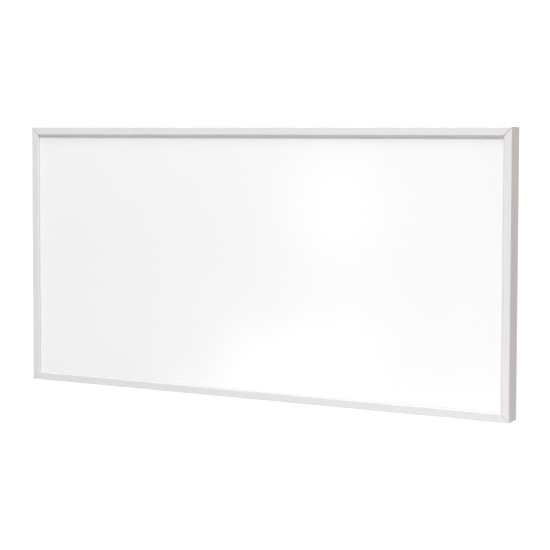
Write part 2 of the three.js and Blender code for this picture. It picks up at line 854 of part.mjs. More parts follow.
function terminalBlock() {
  const low = boxFloorRear + partPlay;
  const high = low + blockDepth;
  const half = blockHeight / 2;
  const shoulder = blockDepth / 4;
  const side = roundedOutline([
    [low, -half, 0],
    [high - shoulder, -half, blockEdge],
    [high, -half + shoulder, blockEdge],
    [high, half - shoulder, blockEdge],
    [high - shoulder, half, blockEdge],
    [low, half, 0],
  ], 2).map((point) => new THREE.Vector2(point.y, point.x));
  const body = bar(new THREE.Shape(side), -blockWidth / 2, blockWidth / 2);
  body.rotateY(Math.PI / 2);
  const holes = [];
  for (let pole = 0; pole < poles; pole += 1) {
    const x = (pole - (poles - 1) / 2) * polePitch;
    for (const sign of [-1, 1]) {
      const port = alongZ(rod(portDiameter, -portDepth, portDepth, 0, 0, 12));
      holes.push(port.translate(x, leadLevel, sign * half));
      const slot = rectangle(releaseSlot, releaseSlot, 0, x, sign * releaseSlot);
      holes.push(slab(new THREE.Shape(slot), high - releaseSlot, high + past));
    }
  }
  return moved(cut(body, ...holes), glandX, 0, blockZ);
}

const studShoulder = boxFloorRear + partPlay;
const lugFront = studShoulder + bondGap;
const lugBack = lugFront + lugThickness;

function earthStud() {
  const seat = backRear + bondGap;
  return turned([
    [0, seat],
    [studFlange / 2, seat],
    [studFlange / 2, studShoulder],
    [studDiameter / 2, studShoulder],
    [studDiameter / 2, seat + studLength - bondGap],
    [studDiameter / 2 - partPlay, seat + studLength],
    [0, seat + studLength],
  ]).translate(earthX, 0, earthZ);
}

function earthNut() {
  const low = lugBack + bondGap;
  const nut = rod(overFlats(earthNutFlats), low, low + earthNutHeight, 0, 0, 6);
  const thread = rod(studDiameter + 2 * holePlay, low - past, low + earthNutHeight + past);
  return cut(nut, thread).translate(earthX, 0, earthZ);
}

function grommet() {
  const bore = passBore / 2;
  const neck = bore + grommetWall;
  const brim = neck + grommetFlange;
  const frontFace = backFront - bondGap;
  const rearFace = backRear + bondGap;
  return turned([
    [bore, frontFace - grommetFlange],
    [brim, frontFace - grommetFlange],
    [brim, frontFace],
    [neck, frontFace],
    [neck, rearFace],
    [brim, rearFace],
    [brim, rearFace + grommetFlange],
    [bore, rearFace + grommetFlange],
    [bore, frontFace - grommetFlange],
  ]).translate(passX, 0, passZ);
}

// ---- Cable gland, turned about Y with the box inside at negative y, then laid along Z ------

const glandSeat = -boxHeight / 2; // the box's lower outer face
const neckEnd = glandFlange + glandNeck;
const nutStart = glandFlange + partPlay;
const nutEnd = nutStart + glandNutLength;

function glandInPlace(geometry) {
  return geometry.rotateX(-Math.PI / 2).translate(glandX, glandLevel, glandSeat - bondGap);
}

function glandBody() {
  const hexagon = rod(overFlats(glandFlats), 0, glandFlange, 0, 0, 6);
  const thread = rod(glandThread, -glandShank, neckEnd);
  const bore = rod(glandBore, -glandShank - past, neckEnd - sealWall);
  const seat = rod(glandBore + 2 * (sealWall + partPlay), glandFlange, neckEnd + past);
  return glandInPlace(cut(join(hexagon, thread), bore, seat));
}

function glandSeal() {
  const inner = glandBore / 2;
  const outer = inner + sealWall;
  return glandInPlace(turned([
    [inner, glandFlange + partPlay],
    [outer, glandFlange + partPlay],
    [outer, neckEnd + partPlay],
    [outer - sealWall / 2, nutEnd - glandNutWall - partPlay],
    [inner, nutEnd - glandNutWall - partPlay],
    [inner, glandFlange + partPlay],
  ]));
}

function glandNut() {
  const hexagon = rod(overFlats(glandFlats), nutStart, neckEnd, 0, 0, 6);
  const shoulder = glandFlats / 2;
  const mouth = glandBore / 2;
  const dome = turned([
    [0, neckEnd - partPlay],
    [shoulder, neckEnd - partPlay],
    [shoulder, neckEnd + partPlay],
    [(shoulder + mouth) / 2 + glandNutWall, nutEnd - glandNutWall],
    [mouth + glandNutWall, nutEnd],
    [0, nutEnd],
  ]);
  const inside = turned([
    [0, nutStart - past],
    [glandThread / 2 + partPlay, nutStart - past],
    [glandThread / 2 + partPlay, neckEnd + partPlay],
    [mouth + sealWall + partPlay, neckEnd + 2 * partPlay],
    [mouth + sealWall + partPlay, nutEnd - glandNutWall],
    [0, nutEnd - glandNutWall],
  ]);
  const wayThrough = rod(glandBore, nutStart, nutEnd + past);
  return glandInPlace(cut(join(hexagon, dome), inside, wayThrough));
}

function glandLocknut() {
  const start = -boxWall - 2 * bondGap - locknutLength;
  const nut = rod(overFlats(glandFlats), start, start + locknutLength, 0, 0, 6);
  const thread = rod(glandThread + 2 * partPlay, start - past, start + locknutLength + past);
  return glandInPlace(cut(nut, thread));
}

function addConnectionBox() {
  const place = groupAt(boxCentreX, 0, boxCentreZ);
  piece('connection_box_base', boxBase(), greyPlastic, place);
  piece('connection_box_lid', boxLid(), greyPlastic, place);
  lidScrewPlaces.forEach(({ x, z }, i) => {
    piece(`lid_screw_${i + 1}`, moved(lidScrew(), x, 0, z), zincPlatedSteel, place);
  });
  for (const [side, sign] of [['left', -1], ['right', 1]]) {
    const fastener = moved(rivet(rivetGrip), sign * earRivetX, 0, 0);
    piece(`box_rivet_${side}`, fastener, zincPlatedSteel, place);
  }
  piece('terminal_block', terminalBlock(), palePlastic, place);
  piece('earth_stud', earthStud(), zincPlatedSteel, place);
  piece('earth_nut', earthNut(), brass, place);
  piece('lead_grommet', grommet(), blackRubber, place);
  piece('gland_body', glandBody(), greyPlastic, place);
  piece('gland_seal', glandSeal(), blackRubber, place);
  piece('gland_nut', glandNut(), greyPlastic, place);
  piece('gland_locknut', glandLocknut(), greyPlastic, place);
}

// ---- Cut-out and leads --------------------------------------------------------------------

function thermalCutout() {
  const front = filmBack + seatGap;
  const body = turned([
    [0, front],
    [cutoutFlange / 2, front],
    [cutoutFlange / 2, front + cutoutFlangeHeight],
    [cutoutDiameter / 2, front + cutoutFlangeHeight],
    [cutoutDiameter / 2, cutoutBack - partPlay],
    [cutoutDiameter / 2 - partPlay, cutoutBack],
    [0, cutoutBack],
  ]);
  const reach = cutoutDiameter / 2 + bladeLength;
  const blades = new THREE.Shape(rectangle(bladeWidth, 2 * reach, bladeWidth / 4));
  const strip = slab(blades, cutoutBack - 2 * bladeThickness, cutoutBack - bladeThickness);
  const cap = rod(cutoutDiameter / 2, cutoutBack - bladeThickness, cutoutBack + bladeThickness);
  return join(body, strip, cap).translate(pass.x, 0, pass.z);
}

// A wire's route: straight runs between the corners given, each corner eased over a bend.
// Every leg, straight or bent, takes the same share of the parameter, so that the steps of a
// tube along it gather in the bends.
class WireRoute extends THREE.Curve {
  constructor(corners, bend) {
    super();
    this.legs = [];
    const points = corners.map(([x, y, z]) => new THREE.Vector3(x, y, z));
    let from = points[0];
    for (let i = 1; i < points.length - 1; i += 1) {
      const back = points[i - 1].clone().sub(points[i]);
      const ahead = points[i + 1].clone().sub(points[i]);
      const reach = Math.min(bend, back.length() * bendShare, ahead.length() * bendShare);
      const enter = points[i].clone().add(back.setLength(reach));
      const leave = points[i].clone().add(ahead.setLength(reach));
      this.legs.push(new THREE.LineCurve3(from, enter));
      this.legs.push(new THREE.QuadraticBezierCurve3(enter, points[i], leave));
      from = leave;
    }
    this.legs.push(new THREE.LineCurve3(from, points.at(-1)));
  }

  getPoint(t, target) {
    const place = t * this.legs.length;
    const leg = Math.min(Math.floor(place), this.legs.length - 1);
    return this.legs[leg].getPoint(place - leg, target);
  }

  getPointAt(u, target) {
    return this.getPoint(u, target);
  }

  getTangentAt(u, target) {
    return this.getTangent(u, target);
  }
}

function lead(corners) {
  const route = new WireRoute(corners, leadBend);
  const section = new THREE.Shape(circle(leadDiameter, 0, 0, 8));
  const steps = route.legs.length * 2;
  return new THREE.ExtrudeGeometry(section, { steps, extrudePath: route, bevelEnabled: false });
}

const poleX = (pole) => boxCentreX + glandX + (pole - (poles - 1) / 2) * polePitch;
const portMouth = boxCentreZ + blockZ + blockHeight / 2;
const portStart = portMouth - portDepth + leadDiameter;
const bladeSeat = cutoutBack - bladeThickness + leadDiameter / 2 + partPlay;
const overCutout = cutoutBack + bladeThickness + leadDiameter / 2 + 2 * partPlay;
const bladeTip = cutoutDiameter / 2 + bladeLength;
const bladeRoot = cutoutDiameter / 2 + leadDiameter / 2;
const tapSeat = busbarBack + partPlay;

// Up from a port, over the block and down to the grommet.
function toThePass(pole, rise, landingX) {
  const top = portMouth + rise;
  return [
    [poleX(pole), leadLevel, portStart],
    [poleX(pole), leadLevel, top],
    [landingX, leadLevel, top],
    [landingX, leadLevel, pass.z],
  ];
}

function liveLead() {
  const x = pass.x - leadSpacing;
  return lead([
    ...toThePass(2, liveRise, x),
    [x, overCutout, pass.z],
    [x, overCutout, pass.z - bladeRoot / 2],
    [pass.x, bladeSeat, pass.z - bladeRoot],
    [pass.x, bladeSeat, pass.z - bladeTip + leadDiameter],
  ]);
}

function neutralLead() {
  const [, tap] = leadTaps;
  return lead([
    ...toThePass(1, neutralRise, tap.x),
    [tap.x, leadRun, pass.z],
    [tap.x, leadRun, tap.z],
    [tap.x, tapSeat, tap.z],
  ]);
}

// From the cut-out's other blade to the upper busbar.
function elementLead() {
  const [tap] = leadTaps;
  return lead([
    [tap.x, bladeSeat, pass.z + bladeRoot],
    [tap.x, bladeSeat, pass.z + bladeTip - leadDiameter],
    [tap.x, leadRun, pass.z + bladeTip],
    [tap.x, leadRun, tap.z],
    [tap.x, tapSeat, tap.z],
  ]);
}

// The earth lead with its ring lug, which goes over the stud under the nut.
function earthLead() {
  const stud = { x: boxCentreX + earthX, z: boxCentreZ + earthZ };
  const low = lugBack + leadDiameter / 2;
  const top = portMouth + earthRise;
  const down = poleX(0) - (blockWidth - (poles - 1) * polePitch) / 2 - 2 * leadDiameter;
  const lugRoot = stud.x + lugOuter / 2;
  const wire = lead([
    [poleX(0), leadLevel, portStart],
    [poleX(0), leadLevel, top],
    [down, leadLevel, top],
    [down, low, stud.z],
    [lugRoot + leadDiameter, low, stud.z],
  ]);
  const ring = shapeOf(circle(lugOuter), [circle(studDiameter + 2 * holePlay)]);
  const palm = slab(ring, lugFront, lugBack);
  const tailMiddle = lugOuter / 2 - holePlay + lugTail / 2;
  const tongue = slab(
    new THREE.Shape(rectangle(lugTail, leadDiameter, 0, tailMiddle)),
    lugFront,
    lugBack,
  );
  const crimp = slab(
    new THREE.Shape(rectangle(lugTail / 2, leadDiameter, 0, tailMiddle + lugTail / 4)),
    lugFront,
    low,
  );
  return join(wire, moved(join(palm, tongue, crimp), stud.x, 0, stud.z));
}

function addInnerParts() {
  piece('thermal_cutout', thermalCutout(), palePlastic);
  piece('live_lead', liveLead(), brownLead);
  piece('neutral_lead', neutralLead(), blueLead);
  piece('element_lead', elementLead(), redLead);
  piece('earth_lead', earthLead(), earthLeadGreen);
}

addFrame();
addCorners();
addLayers();
addHangers();
addConnectionBox();
addInnerParts();

export default heater;
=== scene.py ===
"""Infrared panel heater, wall hung: a white plate in a mitred white frame.

Everything is in metres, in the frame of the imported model: the origin is the middle of the
wall plane, +X to the right as seen from the room, +Y from the room to the wall, +Z up.
Sizes of the new pieces are written in millimetres and brought to metres by MM.
"""

import json
import math

import bmesh
import bpy
from mathutils import Matrix, Vector


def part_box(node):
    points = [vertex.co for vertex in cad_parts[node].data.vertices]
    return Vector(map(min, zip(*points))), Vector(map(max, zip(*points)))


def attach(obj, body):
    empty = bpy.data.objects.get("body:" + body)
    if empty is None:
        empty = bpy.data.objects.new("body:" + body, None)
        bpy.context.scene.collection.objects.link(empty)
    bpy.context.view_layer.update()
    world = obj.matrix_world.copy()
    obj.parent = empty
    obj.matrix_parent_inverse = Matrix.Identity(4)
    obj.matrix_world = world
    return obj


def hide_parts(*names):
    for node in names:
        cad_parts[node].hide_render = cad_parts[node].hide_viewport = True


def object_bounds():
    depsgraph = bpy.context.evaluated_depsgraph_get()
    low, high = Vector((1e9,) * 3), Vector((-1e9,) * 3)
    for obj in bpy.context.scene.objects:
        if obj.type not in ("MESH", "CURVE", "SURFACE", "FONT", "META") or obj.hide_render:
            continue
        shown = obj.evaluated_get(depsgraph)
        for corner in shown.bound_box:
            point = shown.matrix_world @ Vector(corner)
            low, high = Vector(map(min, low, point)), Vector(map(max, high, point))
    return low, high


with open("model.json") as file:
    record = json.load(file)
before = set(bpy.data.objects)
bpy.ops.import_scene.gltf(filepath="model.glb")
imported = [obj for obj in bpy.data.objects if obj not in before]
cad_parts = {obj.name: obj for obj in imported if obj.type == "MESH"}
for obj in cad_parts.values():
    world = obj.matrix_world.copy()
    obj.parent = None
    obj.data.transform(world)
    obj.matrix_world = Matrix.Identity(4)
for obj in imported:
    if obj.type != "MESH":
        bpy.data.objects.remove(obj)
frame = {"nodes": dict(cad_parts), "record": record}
nodes = frame["nodes"]
scene = bpy.context.scene
cad_box = [list(corner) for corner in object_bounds()]
slot_of = {part["node"]: part["material_slot"] for part in frame["record"]["subparts"]}

MM = 0.001
PANEL_WIDTH = cad_box[1][0] - cad_box[0][0]
PANEL_HEIGHT = cad_box[1][2] - cad_box[0][2]
MITRE_GAP = 0.6 * MM


# ---- Finishes ---------------------------------------------------------------------------


def linear(hex_colour):
    """A colour written as sRGB hex, as the linear RGBA that a shader takes."""
    parts = [int(hex_colour[i : i + 2], 16) / 255 for i in (1, 3, 5)]
    return [c / 12.92 if c <= 0.04045 else ((c + 0.055) / 1.055) ** 2.4 for c in parts] + [1.0]


def per_metre(size_mm):
    """Texture scale that repeats a pattern about every size_mm."""
    return 1 / (size_mm * MM)


def add(tree, kind, inputs=None, **settings):
    """Adds a node, sets its settings, and fills its inputs with values or other nodes' outputs."""
    made = tree.nodes.new(kind)
    for name, value in settings.items():
        setattr(made, name, value)
    for name, value in (inputs or {}).items():
        if isinstance(value, bpy.types.NodeSocket):
            tree.links.new(value, made.inputs[name])
        else:
            made.inputs[name].default_value = value
    return made


def start_finish(name):
    """An empty material and the coordinates of the piece that wears it."""
    material = bpy.data.materials.new(name)
    material.use_nodes = True
    tree = material.node_tree
    tree.nodes.clear()
    place = add(tree, "ShaderNodeTexCoord").outputs["Object"]
    return material, tree, place


def end_finish(material, shader_inputs):
    """Ends a material in its shader."""
    tree = material.node_tree
    shader = add(tree, "ShaderNodeBsdfPrincipled", shader_inputs)
    add(tree, "ShaderNodeOutputMaterial", {"Surface": shader.outputs["BSDF"]})
    return material


def grained(
    name, colours, gloss, grain_mm, relief_mm, stretch=(1, 1, 1), marked=None, **constants
):
    """A finish whose one random grain runs its colour, its gloss and its relief.

    colours and gloss go from the grain's low to its high, relief_mm is the grain's height, and
    a small stretch draws it out along that axis. marked, if given, lays marks over the colour.
    """
    material, tree, place = start_finish(name)
    drawn = add(tree, "ShaderNodeMapping", {"Vector": place, "Scale": stretch})
    grain = add(
        tree,
        "ShaderNodeTexNoise",
        {"Vector": drawn.outputs["Vector"], "Scale": per_metre(grain_mm), "Detail": 3.0},
    )
    colour = add(
        tree,
        "ShaderNodeMix",
        {0: grain.outputs["Fac"], 6: linear(colours[0]), 7: linear(colours[1])},
        data_type="RGBA",
    ).outputs[2]
    if marked:
        colour = marked(tree, place, colour)
    roughness = add(
        tree,
        "ShaderNodeMapRange",
        {
            "Value": grain.outputs["Fac"],
            "From Min": 0.3,
            "From Max": 0.7,
            "To Min": gloss[0],
            "To Max": gloss[1],
        },
    )
    bump = add(
        tree, "ShaderNodeBump", {"Height": grain.outputs["Fac"], "Distance": relief_mm * MM}
    )
    shader_inputs = {
        "Base Color": colour,
        "Roughness": roughness.outputs["Result"],
        "Normal": bump.outputs["Normal"],
    }
    return end_finish(material, {**shader_inputs, **constants})


def with_painted_mitre_shade(tree, place, coat):
    """The coat's colour, with painted shade on the cut faces of the mitre at the top right."""
    at = add(tree, "ShaderNodeSeparateXYZ", {0: place}).outputs
    across = add(tree, "ShaderNodeMath", {0: at["X"]}, operation="ABSOLUTE").outputs[0]
    up = add(tree, "ShaderNodeMath", {0: at["Z"]}, operation="ABSOLUTE").outputs[0]
    lead = add(tree, "ShaderNodeMath", {0: across, 1: up}, operation="SUBTRACT").outputs[0]
    # A mitre runs where the panel's side is as far away as its top or bottom. The cuts lie
    # MITRE_GAP / sqrt(2) off that plane, measured along X, so MITRE_GAP takes them in with a
    # hair of the faces beside them.
    near_mitre = add(
        tree,
        "ShaderNodeMath",
        {0: lead, 1: (PANEL_WIDTH - PANEL_HEIGHT) / 2, 2: MITRE_GAP},
        operation="COMPARE",
    ).outputs[0]
    # Of the four corners, only at the top right do x and z add up to more than this.
    corner = add(tree, "ShaderNodeMath", {0: at["X"], 1: at["Z"]}, operation="ADD").outputs[0]
    top_right = add(
        tree, "ShaderNodeMath", {0: corner, 1: PANEL_WIDTH / 2}, operation="GREATER_THAN"
    ).outputs[0]
    cut = add(tree, "ShaderNodeMath", {0: near_mitre, 1: top_right}, operation="MULTIPLY")
    # Painted shade: the cut faces at the top right take a dark colour that stands for the shadow
    # inside the mitre gap.
    return add(
        tree,
        "ShaderNodeMix",
        {0: cut.outputs[0], 6: coat, 7: linear("#34332f")},
        data_type="RGBA",
    ).outputs[2]


def enamel():
    # Baked enamel on sheet steel, sprayed and stoved: smooth and glossy, with the sheet's slow
    # waves that bend a reflection and a trace of orange peel that frays its edge.
    material, tree, place = start_finish("white_enamel")
    clouds = add(tree, "ShaderNodeTexNoise", {"Vector": place, "Scale": per_metre(220)})
    colour = add(
        tree,
        "ShaderNodeMix",
        {0: clouds.outputs["Fac"], 6: linear("#e6e6e6"), 7: linear("#e8e8e8")},
        data_type="RGBA",
    )
    waves = add(
        tree, "ShaderNodeTexNoise", {"Vector": place, "Scale": per_metre(170), "Detail": 1.0}
    )
    peel = add(tree, "ShaderNodeTexNoise", {"Vector": place, "Scale": per_metre(4), "Detail": 1.0})
    slow = add(tree, "ShaderNodeBump", {"Height": waves.outputs["Fac"], "Distance": 0.5 * MM})
    fine = add(
        tree,
        "ShaderNodeBump",
        {
            "Height": peel.outputs["Fac"],
            "Distance": 0.006 * MM,
            "Normal": slow.outputs["Normal"],
        },
    )
    return end_finish(
        material,
        {
            "Base Color": colour.outputs[2],
            "Roughness": 0.15,
            "Normal": fine.outputs["Normal"],
        },
    )


def galvanised():
    # Hot-dip galvanised sheet, lightly rolled: zinc crystals of about 11 mm with ragged edges,
    # each with its own grey and gloss, under a fine mill texture.
    material, tree, place = start_finish("galvanised_steel")
    ragged = add(
        tree,
        "ShaderNodeTexNoise",
        {"Vector": place, "Scale": per_metre(5), "Detail": 3.0},
    )
    bent = add(
        tree,
        "ShaderNodeVectorMath",
        {0: ragged.outputs["Color"], 1: (6 * MM,) * 3, 2: place},
        operation="MULTIPLY_ADD",
    )
    crystal = add(
        tree,
        "ShaderNodeTexVoronoi",
        {"Vector": bent.outputs["Vector"], "Scale": per_metre(11)},
    )
    own = add(tree, "ShaderNodeSeparateColor", {"Color": crystal.outputs["Color"]})
    colour = add(
        tree,
        "ShaderNodeMix",
        {0: own.outputs["Red"], 6: linear("#9a9fa3"), 7: linear("#b5b9bb")},
        data_type="RGBA",
    )
    roughness = add(
        tree,
        "ShaderNodeMapRange",
        {"Value": own.outputs["Green"], "To Min": 0.33, "To Max": 0.5},
    )
    mill = add(
        tree, "ShaderNodeTexNoise", {"Vector": place, "Scale": per_metre(1.2), "Detail": 2.0}
    )
    bump = add(tree, "ShaderNodeBump", {"Height": mill.outputs["Fac"], "Distance": 0.006 * MM})
    return end_finish(
        material,
        {
            "Base Color": colour.outputs[2],
            "Roughness": roughness.outputs["Result"],
            "Normal": bump.outputs["Normal"],
            "Metallic": 1.0,
        },
    )


def carbon_film():
    # Carbon paste printed on polyester film in bars from busbar to busbar: matt black paste,
    # glossier film between.
    material, tree, place = start_finish("carbon_film")
    # A wave texture's period is pi / 10 over its scale, so this is a bar every 12 mm.
    bars = add(
        tree,
        "ShaderNodeTexWave",
        {"Vector": place, "Scale": per_metre(12) * math.pi / 10, "Distortion": 0.0},
        bands_direction="X",
    )
    colour = add(
        tree,
        "ShaderNodeMix",
        {0: bars.outputs["Fac"], 6: linear("#17181a"), 7: linear("#33353a")},
        data_type="RGBA",
    )
    roughness = add(
        tree,
        "ShaderNodeMapRange",
        {"Value": bars.outputs["Fac"], "To Min": 0.7, "To Max": 0.35},
    )
    return end_finish(
        material,
        {"Base Color": colour.outputs[2], "Roughness": roughness.outputs["Result"]},
    )


def mica():
    # Mica paper pressed with resin: straw coloured flakes of about 5 mm with a pearly gloss.
    material, tree, place = start_finish("mica_sheet")
    flakes = add(tree, "ShaderNodeTexVoronoi", {"Vector": place, "Scale": per_metre(5)})
    own = add(tree, "ShaderNodeSeparateColor", {"Color": flakes.outputs["Color"]})
    colour = add(
        tree,
        "ShaderNodeMix",
        {0: own.outputs["Green"], 6: linear("#a89462"), 7: linear("#cbbb90")},
        data_type="RGBA",
    )
    roughness = add(
        tree,
        "ShaderNodeMapRange",
        {"Value": own.outputs["Green"], "To Min": 0.3, "To Max": 0.6},
    )
    return end_finish(
        material,
        {"Base Color": colour.outputs[2], "Roughness": roughness.outputs["Result"]},
    )


def foil():
    # Aluminium foil, bright rolled and laid by hand: a mirror broken by soft creases.
    material, tree, place = start_finish("bright_foil")
    creases = add(
        tree,
        "ShaderNodeTexVoronoi",
        {"Vector": place, "Scale": per_metre(24)},
        feature="SMOOTH_F1",
    )
    dimples = add(tree, "ShaderNodeTexNoise", {"Vector": place, "Scale": per_metre(6)})
    roughness = add(
        tree,
        "ShaderNodeMapRange",
        {"Value": dimples.outputs["Fac"], "To Min": 0.12, "To Max": 0.28},
    )
    large = add(
        tree, "ShaderNodeBump", {"Height": creases.outputs["Distance"], "Distance": 0.8 * MM}
    )
    small = add(
        tree,
        "ShaderNodeBump",
        {
            "Height": dimples.outputs["Fac"],
            "Distance": 0.05 * MM,
            "Normal": large.outputs["Normal"],
        },
    )
    return end_finish(
        material,
        {
            "Base Color": linear("#d9dbde"),
            "Roughness": roughness.outputs["Result"],
            "Normal": small.outputs["Normal"],
            "Metallic": 1.0,
        },
    )


finishes = {
    # Polyester powder coat, stoved on the extrusion: satin white with fine orange peel. The
    # four mitres have the same gap. The one at the top right looks the darkest, so its cut faces
    # are painted dark as the shade deep inside its open gap, and the other three keep the coat.
    "white_powder_coat": grained(
        "white_powder_coat",
        ("#d6d4d3", "#d8d6d5"),
        (0.39, 0.46),
        2.2,
        0.02,
        marked=with_painted_mitre_shade,
        **{"Specular IOR Level": 0.4},
    ),
    "white_enamel": enamel(),
    # Extruded aluminium as it left the die: dull silver, drawn out in fine lines along Y.
    "mill_aluminium": grained(
        "mill_aluminium",
        ("#b3b6ba", "#c6c9cc"),
        (0.32, 0.48),
        0.8,
        0.01,
        stretch=(1, 0.02, 1),
        Metallic=1.0,
    ),
    "galvanised_steel": galvanised(),
    # Steel, zinc plated and clear passivated: bright and slightly blue, softly clouded.
    "zinc_plated_steel": grained(
        "zinc_plated_steel",
        ("#b2b7bf", "#c1c3c4"),
        (0.24, 0.38),
        3,
        0.004,
        Metallic=1.0,
    ),
    "carbon_film": carbon_film(),
    # Bare copper strip, rolled along its length: warm, with fine lines.
    "copper": grained(
        "copper",
        ("#a9633f", "#c98a66"),
        (0.22, 0.4),
        0.6,
        0.003,
        stretch=(0.02, 1, 1),
        Metallic=1.0,
    ),
    "mica_sheet": mica(),
    "bright_foil": foil(),
    # Glass fibre mat, spun and bonded with resin: straw yellow, matt and felted.
    "mineral_wool": grained(
        "mineral_wool",
        ("#a8935c", "#e0d4ac"),
        (0.9, 1.0),
        2,
        0.6,
        stretch=(0.2, 1, 0.5),
    ),
    # Nylon, moulded in a spark-eroded tool: satin, with a fine even grain. The real grain of
    # about 0.3 mm is drawn at 0.7 mm, so that it shows.
    "grey_plastic": grained(
        "grey_plastic",
        ("#35373a", "#424447"),
        (0.44, 0.58),
        0.7,
        0.03,
    ),
    "pale_plastic": grained(
        "pale_plastic",
        ("#d2d0c9", "#dddbd5"),
        (0.42, 0.54),
        0.7,
        0.02,
    ),
    # Nitrile rubber, moulded: nearly black and matt, with a faint bloom.
    "black_rubber": grained(
        "black_rubber",
        ("#181818", "#262627"),
        (0.72, 0.88),
        1.5,
        0.02,
    ),
    # Brass, turned from bar: warm yellow with fine tool marks.
    "brass": grained(
        "brass",
        ("#a68a48", "#c8ad6a"),
        (0.24, 0.4),
        0.5,
        0.003,
        stretch=(1, 0.1, 1),
        Metallic=1.0,
    ),
    # Soft vinyl, extruded over stranded wire: smooth and slightly glossy, one colour a lead.
    "brown_lead": grained("brown_lead", ("#643820", "#72442b"), (0.34, 0.46), 1.5, 0.01),
    "blue_lead": grained("blue_lead", ("#275592", "#3064a6"), (0.34, 0.46), 1.5, 0.01),
    "red_lead": grained("red_lead", ("#932a25", "#a63630"), (0.34, 0.46), 1.5, 0.01),
    "green_lead": grained("green_lead", ("#668f29", "#79a637"), (0.34, 0.46), 1.5, 0.01),
}

for node, slot in slot_of.items():
    mesh = nodes[node].data
    mesh.materials.clear()
    mesh.materials.append(finishes[slot])


# ---- How the new pieces are shaped ------------------------------------------------------


def object_of(made, name):
    """An object that holds the bmesh, which is used up."""
    mesh = bpy.data.meshes.new(name)
    made.to_mesh(mesh)
    made.free()
    holder = bpy.data.objects.new(name, mesh)
    scene.collection.objects.link(holder)
    return holder


def combined(made, operation, *others):
    """The mesh joined with, cut by or kept inside the others, one after another."""
    body = object_of(made, "body")
    tools = [object_of(other, "tool") for other in others]
    for tool in tools:
        step = body.modifiers.new("step", "BOOLEAN")
        step.operation = operation
        step.solver = "EXACT"
        step.object = tool
    bpy.context.view_layer.update()
    shaped = body.evaluated_get(bpy.context.evaluated_depsgraph_get())
    result = bmesh.new()
    result.from_mesh(shaped.data)
    for used in (body, *tools):
        bpy.data.objects.remove(used)
    return result


def dress(made, node, sharp_over=32):
    """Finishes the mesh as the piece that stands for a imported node, in that node's finish."""
    bmesh.ops.remove_doubles(made, verts=made.verts, dist=0.002 * MM)
    bmesh.ops.recalc_face_normals(made, faces=made.faces)
    piece = object_of(made, node + "_form")
    piece.data.shade_smooth()
    piece.data.set_sharp_from_angle(angle=math.radians(sharp_over))
    even = piece.modifiers.new("even_shading", "WEIGHTED_NORMAL")
    even.keep_sharp = True
    piece.data.materials.append(finishes[slot_of[node]])
    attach(piece, "root")
    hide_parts(node)
    return piece


def round_corners(made, corners, radius):
    """Rounds right-angled corners of a flat outline."""
    bmesh.ops.bevel(
        made,
        geom=corners,
        offset=radius,
        segments=6,
        profile=0.5,
        affect="VERTICES",
        material=-1,
        clamp_overlap=True,
    )


def round_edges(made, edges, radius, segments=5):
    """Rounds edges over by a radius."""
    bmesh.ops.bevel(
        made,
        geom=edges,
        offset=radius,
        segments=segments,
        profile=0.5,
        affect="EDGES",
        material=-1,
        clamp_overlap=True,
    )


def moved_by(made, matrix):
    """The mesh itself, moved by the matrix."""
    bmesh.ops.transform(made, matrix=matrix, verts=made.verts)
    return made


def along_y(edge):
    """Whether an edge runs along Y."""
    return abs((edge.verts[0].co - edge.verts[1].co).normalized().y) > 0.999


def middle_of(node):
    """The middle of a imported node's box."""
    low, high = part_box(node)
    return [(a + b) / 2 for a, b in zip(low, high)]


def thickened(made, gauge, outer_side):
    """Gives an open sheet its gauge, behind its faces, which turn to -Y (-1) or +Y (1)."""
    bmesh.ops.recalc_face_normals(made, faces=made.faces)
    if max(made.faces, key=lambda face: face.calc_area()).normal.y * outer_side < 0:
        bmesh.ops.reverse_faces(made, faces=made.faces)
    bmesh.ops.solidify(made, geom=made.faces[:], thickness=gauge)


def sheet_form(width, height, near_y, far_y, corner, centre=(0, 0)):
    """A slab in the panel's plane, from near_y to far_y, with rounded corners."""
    made = bmesh.new()
    bmesh.ops.create_cube(made, size=1)
    size = Matrix.Diagonal((width, far_y - near_y, height, 1))
    place = Matrix.Translation((centre[0], (near_y + far_y) / 2, centre[1]))
    moved_by(made, place @ size)
    if corner:
        upright = [edge for edge in made.edges if along_y(edge)]
        round_edges(made, upright, corner, 8)
    return made


def rod_form(diameter, near_y, far_y, centre=(0, 0), sides=32):
    """A round or, with six sides, a hexagonal bar along Y."""
    made = bmesh.new()
    bmesh.ops.create_cone(
        made,
        cap_ends=True,
        segments=sides,
        radius1=diameter / 2,
        radius2=diameter / 2,
        depth=far_y - near_y,
    )
    place = Matrix.Translation((centre[0], (near_y + far_y) / 2, centre[1]))
    return moved_by(made, place @ Matrix.Rotation(math.pi / 2, 4, "X"))


def turned_form(profile, steps=40):
    """A profile of (radius, y) from the axis back to the axis, spun about Y."""
    made = bmesh.new()
    points = [made.verts.new((radius, y, 0)) for radius, y in profile]
    for here, there in zip(points, points[1:]):
        made.edges.new((here, there))
    bmesh.ops.spin(
        made,
        geom=made.verts[:] + made.edges[:],
        cent=(0, 0, 0),
        axis=(0, 1, 0),
        angle=2 * math.pi,
        steps=steps,
        use_merge=True,
    )
    bmesh.ops.remove_doubles(made, verts=made.verts, dist=0.002 * MM)
    bmesh.ops.recalc_face_normals(made, faces=made.faces)
    return made


# ---- Frame ------------------------------------------------------------------------------

